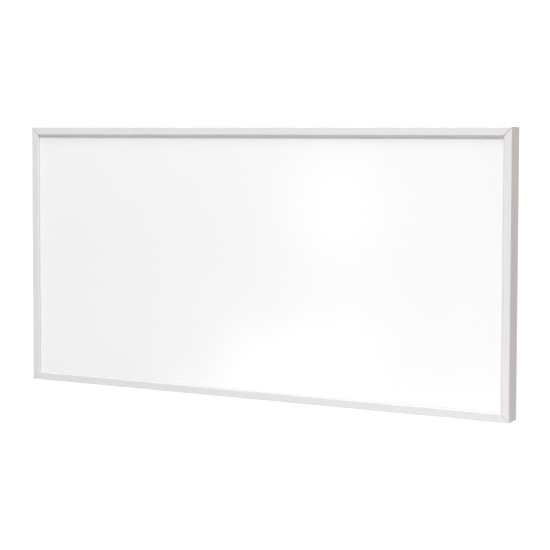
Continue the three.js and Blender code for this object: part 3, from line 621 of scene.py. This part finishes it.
# The extrusion's section as (inwards from the outer face, y, radius of the corner).
FRAME_OUTLINE = [
    (0, -44, 0.8),
    (18, -44, 3),
    (18, -38, 0.3),
    (1.5, -38, 0.6),
    (1.5, -22, 0.6),
    (14, -22, 0.2),
    (14, -20.5, 0.2),
    (10.5, -20.5, 0.6),
    (10.5, -9.5, 0.8),
    (1.5, -9.5, 0.6),
    (1.5, -1.5, 0.6),
    (22, -1.5, 0.3),
    (22, 0, 0.3),
    (0, 0, 0.8),
]
FACE_CHAMBER = [(1.5, -42.5, 0.6), (16.5, -42.5, 0.6), (16.5, -39.5, 0.6), (1.5, -39.5, 0.6)]
KEY_CHAMBER = [(1.5, -20.5, 0.6), (9, -20.5, 0.6), (9, -11, 0.6), (1.5, -11, 0.6)]
KEY_CHAMBER_MIDDLE = (-20.5 - 11) / 2 * MM
KEY_SCREW_FROM_END = 30 * MM
KEY_SCREW_HOLE = 6.5 * MM


def add_outline(made, corners):
    """Draws a closed outline at x = 0, with its corners rounded."""
    points = [made.verts.new((0, y * MM, inward * MM)) for inward, y, _ in corners]
    made.faces.new(points)
    for radius in sorted({radius for _, _, radius in corners}):
        chosen = [p for p, (_, _, own) in zip(points, corners) if own == radius]
        round_corners(made, chosen, radius * MM)


def frame_member(length, notch=None):
    """One member along X, its inner side up, with both ends mitred."""
    made = bmesh.new()
    for corners in (FRAME_OUTLINE, FACE_CHAMBER, KEY_CHAMBER):
        add_outline(made, corners)
    bmesh.ops.delete(made, geom=made.faces[:], context="FACES_ONLY")
    bmesh.ops.triangle_fill(made, edges=made.edges[:], use_beauty=True)
    swept = bmesh.ops.extrude_face_region(made, geom=made.faces[:])["geom"]
    far_end = [part for part in swept if isinstance(part, bmesh.types.BMVert)]
    bmesh.ops.translate(made, verts=far_end, vec=(length, 0, 0))
    for corner in made.verts:
        reach = length / 2 - corner.co.z - MITRE_GAP / math.sqrt(2)
        corner.co.x = math.copysign(reach, corner.co.x - length / 2)
    bmesh.ops.recalc_face_normals(made, faces=made.faces)
    upright = Matrix.Rotation(math.pi / 2, 4, "X")
    tools = []
    for end in (-1, 1):
        # The hole goes through the chamber's inner wall, from 9 to 10.5 mm inwards.
        key_hole = rod_form(KEY_SCREW_HOLE, 8.7 * MM, 18 * MM)
        from_middle = end * (length / 2 - KEY_SCREW_FROM_END)
        place = Matrix.Translation((from_middle, KEY_CHAMBER_MIDDLE, 0))
        tools.append(moved_by(key_hole, place @ upright))
    if notch:
        tools.append(notch)
    return combined(made, "DIFFERENCE", *tools)


def cable_notch():
    """The way out for the cable, through the bottom member's outer wall and rear flange."""
    gland_x = middle_of("gland_body")[0]
    made = sheet_form(11 * MM, 17 * MM, -1.5 * MM, 23.5 * MM, 3 * MM)
    place = Matrix.Translation((gland_x, 0, 0)) @ Matrix.Rotation(math.pi / 2, 4, "X")
    return moved_by(made, place)


def build_frame():
    low, side = -PANEL_HEIGHT / 2, PANEL_WIDTH / 2
    members = {
        "frame_bottom_rail": (PANEL_WIDTH, (0, 0, low), 0),
        "frame_right_stile": (PANEL_HEIGHT, (side, 0, 0), -math.pi / 2),
        "frame_top_rail": (PANEL_WIDTH, (0, 0, -low), math.pi),
        "frame_left_stile": (PANEL_HEIGHT, (-side, 0, 0), math.pi / 2),
    }
    for node, (length, place, turn) in members.items():
        notch = cable_notch() if node == "frame_bottom_rail" else None
        member = frame_member(length, notch)
        moved_by(member, Matrix.Translation(place) @ Matrix.Rotation(turn, 4, "Y"))
        dress(member, node)


# ---- Heating plate and back plate -------------------------------------------------------


def flat_outline(made, width, height, y, corner):
    """A flat face in the panel's plane with rounded corners."""
    bmesh.ops.create_grid(made, x_segments=1, y_segments=1, size=0.5)
    across = Matrix.Rotation(math.pi / 2, 4, "X") @ Matrix.Diagonal((width, height, 1, 1))
    moved_by(made, Matrix.Translation((0, y, 0)) @ across)
    round_corners(made, made.verts[:], corner)


def build_heating_plate():
    """The radiant face: coated sheet with its rim folded back into the frame's groove."""
    low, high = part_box("heating_plate")
    made = bmesh.new()
    flat_outline(made, high[0] - low[0], high[2] - low[2], low[1], SHEET_CORNER)
    bends = made.edges[:]
    rim = bmesh.ops.extrude_edge_only(made, edges=bends)["geom"]
    rim_ends = [part for part in rim if isinstance(part, bmesh.types.BMVert)]
    bmesh.ops.translate(made, verts=rim_ends, vec=(0, high[1] - low[1], 0))
    round_edges(made, bends, 1.2 * MM, 4)
    thickened(made, 1 * MM, -1)
    dress(made, "heating_plate")


SHEET_CORNER = 2.5 * MM
BACK_GAUGE = 0.7 * MM
RIVET_HOLE = 4.3 * MM
GROMMET_HOLE = 13.4 * MM

# A pressed bead from its foot to its crown, as (half its width, height) in mm.
BEAD_RINGS = [(12, 0), (11, 0.18), (10, 0.75), (8.2, 2.25), (7.2, 2.82), (6.2, 3)]
BEAD_PITCH = 150 * MM
BEAD_WIDTH = 22 * MM
BEAD_TOP = 228 * MM
MIDDLE_BEAD_FOOT = -93 * MM


def slot_ring(made, centre, half_width, length, y):
    """A slot-shaped ring of edges, upright in the panel's plane."""
    half_step = Matrix.Rotation(math.pi / 32, 4, "Z")
    ring = bmesh.ops.create_circle(made, segments=32, radius=half_width, matrix=half_step)
    shift = (length - BEAD_WIDTH) / 2
    for point in ring["verts"]:
        rise = math.copysign(shift, point.co.y)
        point.co = (centre[0] + point.co.x, y, centre[1] + point.co.y + rise)
    return list({edge for point in ring["verts"] for edge in point.link_edges})


def hole_ring(made, diameter, centre, y):
    """A round ring of edges in the panel's plane."""
    upright = Matrix.Translation((centre[0], y, centre[1])) @ Matrix.Rotation(math.pi / 2, 4, "X")
    ring = bmesh.ops.create_circle(made, segments=24, radius=diameter / 2, matrix=upright)
    return list({edge for point in ring["verts"] for edge in point.link_edges})


RIVETS = [node for node in nodes if node.startswith(("rivet_", "box_rivet_"))]


def build_back_plate():
    """Galvanised sheet with five pressed beads, pierced for its rivets and for the leads."""
    low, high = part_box("back_plate")
    sheet_rear = low[1] + BACK_GAUGE
    made = bmesh.new()
    flat_outline(made, high[0] - low[0], high[2] - low[2], sheet_rear, SHEET_CORNER)
    bmesh.ops.delete(made, geom=made.faces[:], context="FACES_ONLY")
    border = made.edges[:]
    for column in range(-2, 3):
        foot = -BEAD_TOP if column else MIDDLE_BEAD_FOOT
        centre = (column * BEAD_PITCH, (BEAD_TOP + foot) / 2)
        rings = [
            slot_ring(made, centre, half * MM, BEAD_TOP - foot, sheet_rear + rise * MM)
            for half, rise in BEAD_RINGS
        ]
        border += rings[0]
        for outer, inner in zip(rings, rings[1:]):
            bmesh.ops.bridge_loops(made, edges=outer + inner)
        bmesh.ops.holes_fill(made, edges=rings[-1], sides=0)
    for rivet in RIVETS:
        x, _, z = middle_of(rivet)
        border += hole_ring(made, RIVET_HOLE, (x, z), sheet_rear)
    x, _, z = middle_of("lead_grommet")
    border += hole_ring(made, GROMMET_HOLE, (x, z), sheet_rear)
    bmesh.ops.triangle_fill(made, edges=border, use_beauty=True)
    thickened(made, BACK_GAUGE, 1)
    dress(made, "back_plate", sharp_over=45)


# ---- Hangers and rivets -----------------------------------------------------------------


HANGER_GAUGE = 1.5 * MM
HANGER_HALF_WEB = 24.25 * MM
HANGER_BEND = 1.95 * MM
KEYHOLE_HEAD = 11 * MM
KEYHOLE_SLOT = 5.4 * MM


def build_hanger(node):
    """A folded hat section with a keyhole in its crown and a rivet hole in each foot."""
    low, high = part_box(node)
    x, _, z = middle_of(node)
    foot, crown = low[1] + HANGER_GAUGE / 2, high[1] - HANGER_GAUGE / 2
    tip = (high[0] - low[0]) / 2
    web = HANGER_HALF_WEB
    made = bmesh.new()
    path = [(-tip, foot), (-web, foot), (-web, crown), (web, crown), (web, foot), (tip, foot)]
    points = [made.verts.new((x + across, y, low[2])) for across, y in path]
    for here, there in zip(points, points[1:]):
        made.edges.new((here, there))
    swept = bmesh.ops.extrude_edge_only(made, edges=made.edges[:])["geom"]
    upper = [part for part in swept if isinstance(part, bmesh.types.BMVert)]
    bmesh.ops.translate(made, verts=upper, vec=(0, 0, high[2] - low[2]))
    bends = [edge for edge in made.edges if len(edge.link_faces) == 2]
    round_edges(made, bends, HANGER_BEND, 6)
    free = [p for p in made.verts if len(p.link_faces) == 1 and abs(p.co.x - x) > tip - 1 * MM]
    round_corners(made, free, 3 * MM)
    bmesh.ops.recalc_face_normals(made, faces=made.faces)
    bmesh.ops.solidify(made, geom=made.faces[:], thickness=HANGER_GAUGE)
    lowest = min(p.co.y for p in made.verts)
    moved_by(made, Matrix.Translation((0, low[1] - lowest, 0)))
    bmesh.ops.recalc_face_normals(made, faces=made.faces)
    under, over = crown - 3 * MM, crown + 3 * MM
    head = rod_form(KEYHOLE_HEAD, under, over, (x, z - 5 * MM), 40)
    # The corners are just short of half the width, so that the end stays one closed outline.
    slot = sheet_form(KEYHOLE_SLOT, 14.7 * MM, under, over, KEYHOLE_SLOT / 2 - 0.01 * MM)
    moved_by(slot, Matrix.Translation((x, 0, z + 2.35 * MM)))
    tools = [head, slot]
    for rivet in RIVETS:
        rivet_x, _, rivet_z = middle_of(rivet)
        if abs(rivet_z - z) < MM and abs(rivet_x - x) < tip:
            hole = rod_form(RIVET_HOLE, foot - 2 * MM, foot + 2 * MM, (rivet_x, rivet_z))
            tools.append(hole)
    dress(combined(made, "DIFFERENCE", *tools), node)


def build_rivet(node):
    """A blind rivet: a domed head, and in its middle the broken end of the pulling pin."""
    low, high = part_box(node)
    x, _, z = middle_of(node)
    seat = high[1] - 1.5 * MM
    shape = [
        (0, low[1]),
        (2.7 * MM, low[1]),
        (3 * MM, low[1] + 0.3 * MM),
        (3 * MM, low[1] + 1.2 * MM),
        (2 * MM, low[1] + 1.2 * MM),
        (2 * MM, seat),
        (3.9 * MM, seat),
        (4 * MM, seat + 0.15 * MM),
        (3.85 * MM, seat + 0.55 * MM),
        (3.3 * MM, seat + 1 * MM),
        (2.4 * MM, seat + 1.36 * MM),
        (1.6 * MM, seat + 1.5 * MM),
        (1.3 * MM, seat + 1.4 * MM),
        (1.2 * MM, seat + 0.5 * MM),
        (0.95 * MM, seat + 0.5 * MM),
        (0.85 * MM, seat + 0.9 * MM),
        (0, seat + 1 * MM),
    ]
    dress(moved_by(turned_form(shape), Matrix.Translation((x, 0, z))), node)


# ---- Connection box ---------------------------------------------------------------------

BOX_WIDTH = 110 * MM
BOX_HEIGHT = 74 * MM
BOX_CORNER = 5 * MM
BOX_WALL = 2 * MM
LID_GAP = 2.3 * MM  # from the box's outer side to the lid's lip
LID_SCREWS = ("lid_screw_1", "lid_screw_2")


def rim_at(made, y):
    """The edges of a form's outline in the plane at y."""
    return [edge for edge in made.edges if all(abs(p.co.y - y) < 1e-6 for p in edge.verts)]


def build_box_base():
    """The moulded base: walls on a floor, an ear each side, a boss for each lid screw."""
    x, _, z = middle_of("connection_box_lid")
    low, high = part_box("connection_box_base")
    floor = low[1] + BOX_WALL
    made = sheet_form(BOX_WIDTH, BOX_HEIGHT, low[1], high[1], BOX_CORNER, (x, z))
    ears = sheet_form(high[0] - low[0], 22 * MM, low[1], low[1] + 1.5 * MM, BOX_CORNER, (x, z))
    round_edges(ears, rim_at(ears, low[1] + 1.5 * MM), 0.4 * MM, 2)
    made = combined(made, "UNION", ears)
    hollow = sheet_form(
        BOX_WIDTH - 2 * BOX_WALL,
        BOX_HEIGHT - 2 * BOX_WALL,
        floor,
        high[1] + 1 * MM,
        BOX_CORNER - BOX_WALL,
        (x, z),
    )
    made = combined(made, "DIFFERENCE", hollow)
    bosses, holes = [], []
    for screw in LID_SCREWS:
        screw_x, _, screw_z = middle_of(screw)
        centre = (screw_x, screw_z)
        bosses.append(rod_form(7.9 * MM, low[1] + 1 * MM, high[1] - 2.8 * MM, centre))
        holes.append(rod_form(3 * MM, floor, high[1], centre))
    for ear_rivet in ("box_rivet_left", "box_rivet_right"):
        rivet_x, _, rivet_z = middle_of(ear_rivet)
        holes.append(rod_form(RIVET_HOLE, low[1] - 1 * MM, floor + 1 * MM, (rivet_x, rivet_z)))
    for node, bore in (("lead_grommet", 16.6 * MM), ("earth_stud", 8.6 * MM)):
        hole_x, _, hole_z = middle_of(node)
        holes.append(rod_form(bore, low[1] - 1 * MM, floor + 1 * MM, (hole_x, hole_z)))
    gland_x, gland_y, _ = middle_of("gland_body")
    gland_hole = rod_form(12.6 * MM, 0, 2 * BOX_WALL)
    below = Matrix.Translation((gland_x, gland_y, z - BOX_HEIGHT / 2 + 1.5 * BOX_WALL))
    holes.append(moved_by(gland_hole, below @ Matrix.Rotation(-math.pi / 2, 4, "X")))
    made = combined(made, "UNION", *bosses)
    dress(combined(made, "DIFFERENCE", *holes), "connection_box_base")


def build_box_lid():
    """The moulded lid: a soft-edged cover whose lip drops into the base."""
    low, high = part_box("connection_box_lid")
    x, _, z = middle_of("connection_box_lid")
    under = high[1] - 2 * MM
    cover = sheet_form(BOX_WIDTH, BOX_HEIGHT, under, high[1], BOX_CORNER, (x, z))
    round_edges(cover, rim_at(cover, high[1]), 0.9 * MM, 4)
    lip_size = (BOX_WIDTH - 2 * LID_GAP, BOX_HEIGHT - 2 * LID_GAP)
    lip = sheet_form(*lip_size, low[1], under + 1 * MM, 3 * MM, (x, z))
    inside = sheet_form(
        lip_size[0] - 3 * MM, lip_size[1] - 3 * MM, low[1] - 1 * MM, under, 1.5 * MM, (x, z)
    )
    made = combined(cover, "UNION", combined(lip, "DIFFERENCE", inside))
    pads, sinks = [], []
    for screw in LID_SCREWS:
        screw_x, _, screw_z = middle_of(screw)
        pads.append(rod_form(7.5 * MM, low[1], under + 1 * MM, (screw_x, screw_z)))
        sink = turned_form(
            [
                (0, low[1] - 1 * MM),
                (1.65 * MM, low[1] - 1 * MM),
                (1.65 * MM, under),
                (3.15 * MM, high[1] + 0.15 * MM),
                (0, high[1] + 0.15 * MM),
            ]
        )
        sinks.append(moved_by(sink, Matrix.Translation((screw_x, 0, screw_z))))
    gland_x = middle_of("gland_body")[0]
    over_locknut = sheet_form(20.4 * MM, 14 * MM, low[1] - 1 * MM, under, 0)
    moved_by(over_locknut, Matrix.Translation((gland_x, 0, z - BOX_HEIGHT / 2)))
    made = combined(made, "UNION", *pads)
    dress(combined(made, "DIFFERENCE", over_locknut, *sinks), "connection_box_lid")


def build_lid_screw(node):
    """A countersunk screw with a cross recess."""
    low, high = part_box(node)
    x, _, z = middle_of(node)
    top = high[1]
    shape = [
        (0, low[1]),
        (1.35 * MM, low[1] + 1.35 * MM),
        (1.35 * MM, top - 2 * MM),
        (2.85 * MM, top - 0.3 * MM),
        (2.85 * MM, top - 0.1 * MM),
        (2.75 * MM, top),
        (0, top),
    ]
    arms = []
    for turn in (0, math.pi / 2):
        arm = sheet_form(0.8 * MM, 3.4 * MM, top - 1.2 * MM, top + 0.3 * MM, 0)
        floor_points = [point for point in arm.verts if point.co.y < top - 1 * MM]
        bmesh.ops.scale(arm, vec=(0.8, 1, 0.35), verts=floor_points)
        arms.append(moved_by(arm, Matrix.Rotation(turn + math.pi / 8, 4, "Y")))
    made = combined(turned_form(shape), "DIFFERENCE", *arms)
    dress(moved_by(made, Matrix.Translation((x, 0, z))), node)


# ---- Cable gland, turned about Y with the box at negative y, then laid along Z -----------


GLAND_IN_BOX = 8 * MM
GLAND_FLATS = 15 * MM


def gland_in_place(made):
    """The mesh, moved from the Y axis to the gland's place under the box."""
    x, y, _ = middle_of("gland_body")
    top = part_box("gland_body")[1][2] - GLAND_IN_BOX
    place = Matrix.Translation((x, y, top)) @ Matrix.Rotation(-math.pi / 2, 4, "X")
    return moved_by(made, place)


def hexagon_form(flats, near, far):
    """A hexagon with the turned chamfer that takes its corners off at both ends."""
    over_corners = flats * 2 / math.sqrt(3)
    bar = rod_form(over_corners, near, far, sides=6)
    moved_by(bar, Matrix.Rotation(math.pi / 6, 4, "Y"))
    chamfer = (over_corners - flats) / 2
    barrel = turned_form(
        [
            (0, near),
            (flats / 2, near),
            (over_corners / 2 + 0.1 * MM, near + chamfer * 0.7),
            (over_corners / 2 + 0.1 * MM, far - chamfer * 0.7),
            (flats / 2, far),
            (0, far),
        ],
        48,
    )
    return combined(bar, "INTERSECT", barrel)


def build_gland():
    """The gland's body and its domed nut, both moulded with soft edges."""
    thread = turned_form(
        [
            (0, -GLAND_IN_BOX),
            (5.6 * MM, -GLAND_IN_BOX),
            (6 * MM, -7.6 * MM),
            (6 * MM, 12.6 * MM),
            (5.6 * MM, 13 * MM),
            (0, 13 * MM),
        ],
        44,
    )
    body = combined(hexagon_form(GLAND_FLATS, 0, 5 * MM), "UNION", thread)
    way_through = turned_form(
        [
            (0, -9 * MM),
            (3.5 * MM, -9 * MM),
            (3.5 * MM, 5 * MM),
            (5.2 * MM, 5 * MM),
            (5.2 * MM, 14 * MM),
            (0, 14 * MM),
        ],
        44,
    )
    dress(gland_in_place(combined(body, "DIFFERENCE", way_through)), "gland_body")

    dome = turned_form(
        [
            (0, 12.4 * MM),
            (7.3 * MM, 12.4 * MM),
            (7.45 * MM, 13.6 * MM),
            (7.3 * MM, 14.8 * MM),
            (6.95 * MM, 16 * MM),
            (6.4 * MM, 17.1 * MM),
            (5.7 * MM, 17.9 * MM),
            (4.9 * MM, 18.25 * MM),
            (4.2 * MM, 18.3 * MM),
            (0, 18.3 * MM),
        ],
        48,
    )
    nut = combined(hexagon_form(GLAND_FLATS, 5.3 * MM, 13 * MM), "UNION", dome)
    inside = turned_form(
        [
            (0, 4.3 * MM),
            (6.3 * MM, 4.3 * MM),
            (6.3 * MM, 13.3 * MM),
            (5.2 * MM, 13.6 * MM),
            (5.2 * MM, 16.7 * MM),
            (0, 16.7 * MM),
        ]
    )
    mouth = turned_form(
        [
            (0, 16 * MM),
            (3.5 * MM, 16 * MM),
            (3.5 * MM, 17.9 * MM),
            (4 * MM, 18.4 * MM),
            (0, 18.4 * MM),
        ]
    )
    dress(gland_in_place(combined(nut, "DIFFERENCE", inside, mouth)), "gland_nut")


build_frame()
build_heating_plate()
build_back_plate()
for node in ("hanger_bottom_left", "hanger_bottom_right", "hanger_top_left", "hanger_top_right"):
    build_hanger(node)
for node in RIVETS:
    build_rivet(node)
build_box_base()
build_box_lid()
for node in LID_SCREWS:
    build_lid_screw(node)
build_gland()


# ---- Studio -----------------------------------------------------------------------------

scene.view_settings.view_transform = "Standard"

# The camera stands right of the panel at the height of its top edge and looks a little down.
CAMERA_PLACE = Vector((1.701, -3.051, 0.282))
CAMERA_YAW = math.radians(28.65)
CAMERA_PITCH = math.radians(-3.31)
CAMERA_ROLL = math.radians(0.13)
IMAGE_SIDE = 550
FOCAL_PIXELS = 1573.3
AXIS_ROW = 226.7  # the image row that the lens axis meets

camera = bpy.data.objects.new("camera", bpy.data.cameras.new("camera"))
scene.collection.objects.link(camera)
camera.matrix_world = (
    Matrix.Translation(CAMERA_PLACE)
    @ Matrix.Rotation(CAMERA_YAW, 4, "Z")
    @ Matrix.Rotation(math.pi / 2 + CAMERA_PITCH, 4, "X")
    @ Matrix.Rotation(CAMERA_ROLL, 4, "Z")
)
camera.data.sensor_width = 36
camera.data.lens = FOCAL_PIXELS / IMAGE_SIDE * camera.data.sensor_width
camera.data.shift_y = (AXIS_ROW - IMAGE_SIDE / 2) / IMAGE_SIDE
scene.camera = camera


def softbox(name, place, target, size, radiance, colour="#ffffff", shape="RECTANGLE"):
    """A soft lamp whose face has the given radiance, aimed from place at target.

    shape is RECTANGLE, or DISK with both sizes the same.
    """
    lamp = bpy.data.lights.new(name, "AREA")
    lamp.shape = shape
    lamp.size, lamp.size_y = size
    area = size[0] * size[1] * (math.pi / 4 if shape == "DISK" else 1)
    lamp.energy = radiance * math.pi * area
    lamp.color = linear(colour)[:3]
    holder = bpy.data.objects.new(name, lamp)
    scene.collection.objects.link(holder)
    aim = (Vector(target) - Vector(place)).to_track_quat("-Z", "Y")
    holder.matrix_world = Matrix.Translation(place) @ aim.to_matrix().to_4x4()
    holder.visible_camera = False


# The key light, and what fills its shadows.
softbox("key", (2.2, -4.9, 6.8), (0, 0, 0), (1.6, 1.6), 87.6)
softbox("overhead", (0.3, -0.7, 2.6), (0.3, 0, 0), (1.8, 0.5), 10.0)
softbox("sweep", (-1.9, -3.1, -0.3), (0, 0, 0), (3.2, 1.5), 1.06)
softbox("low_fill", (0.85, -0.8, -0.7), (0.7, 0, -0.25), (1.2, 0.3), 2.4)
# The right side, which is warm at its top and cool at its foot.
softbox("side_fill", (3.2, -0.4, 1.2), (0.6, 0, 0.1), (1.0, 1.4), 1.8)
softbox("side_warm", (1.5, 0.1, 0.6), (0.6, 0, 0.2), (0.5, 0.5), 3.4, "#ffd0c6")
softbox("side_cool", (1.8, 0.1, -0.65), (0.6, 0, -0.2), (0.5, 0.5), 1.3, "#bcd0ff")
# Soft patches of light that the glossy plate shows right of its middle and along its foot.
softbox("round_glow", (-1.29, -3.04, 0.0), (0.2, 0, 0.1), (0.42, 0.42), 2.3, shape="DISK")
softbox("tall_glow", (-1.29, -3.04, -0.42), (0.2, 0, -0.2), (0.26, 0.6), 1.0)
softbox("low_glow", (-1.08, -2.3, -0.60), (-0.2, 0, -0.5), (0.55, 0.26), 2.6)
softbox("wide_glow", (-0.75, -2.3, -0.685), (-0.2, 0, -0.5), (1.7, 0.13), 2.2)
# The sides that the photograph doesn't show.
softbox("far_side", (-1.6, 0.3, 0.3), (-0.6, 0, 0), (0.5, 0.7), 5.0)
softbox("behind", (-0.6, 3.2, 1.8), (0, 0, 0), (3.2, 2.2), 6.0)


BURNT_OUT = 1.05  # a little over white, so that the background clips


def seen_white(tree, white_kind, output_kind, lit):
    """Ends a tree in what lights the object, with plain white for the camera in its place."""
    white = add(tree, white_kind, {"Color": linear("#ffffff"), "Strength": BURNT_OUT})
    mixed = add(
        tree,
        "ShaderNodeMixShader",
        {
            0: add(tree, "ShaderNodeLightPath").outputs["Is Camera Ray"],
            1: lit,
            2: white.outputs[0],
        },
    )
    add(tree, output_kind, {"Surface": mixed.outputs["Shader"]})


world = bpy.data.worlds.new("studio")
scene.world = world
world.use_nodes = True
room = world.node_tree
room.nodes.clear()
grey = add(room, "ShaderNodeBackground", {"Color": linear("#ffffff"), "Strength": 0.05})
seen_white(room, "ShaderNodeBackground", "ShaderNodeOutputWorld", grey.outputs["Background"])


def studio_floor():
    # Matt pale paint, rolled: burnt out to the white of the background for the camera.
    material, tree, place = start_finish("studio_floor")
    clouds = add(tree, "ShaderNodeTexNoise", {"Vector": place, "Scale": per_metre(400)})
    colour = add(
        tree,
        "ShaderNodeMix",
        {0: clouds.outputs["Fac"], 6: linear("#bcbcbc"), 7: linear("#c0c0c0")},
        data_type="RGBA",
    )
    paint = add(
        tree, "ShaderNodeBsdfPrincipled", {"Base Color": colour.outputs[2], "Roughness": 0.9}
    )
    seen_white(tree, "ShaderNodeEmission", "ShaderNodeOutputMaterial", paint.outputs["BSDF"])
    return material


FLOOR_RADIUS = 9
FLOOR_PLACE = (0, 1.5, -0.75)

floor_mesh = bmesh.new()
bmesh.ops.create_circle(floor_mesh, cap_ends=True, segments=96, radius=FLOOR_RADIUS)
moved_by(floor_mesh, Matrix.Translation(FLOOR_PLACE))
floor = object_of(floor_mesh, "floor")
floor.data.materials.append(studio_floor())
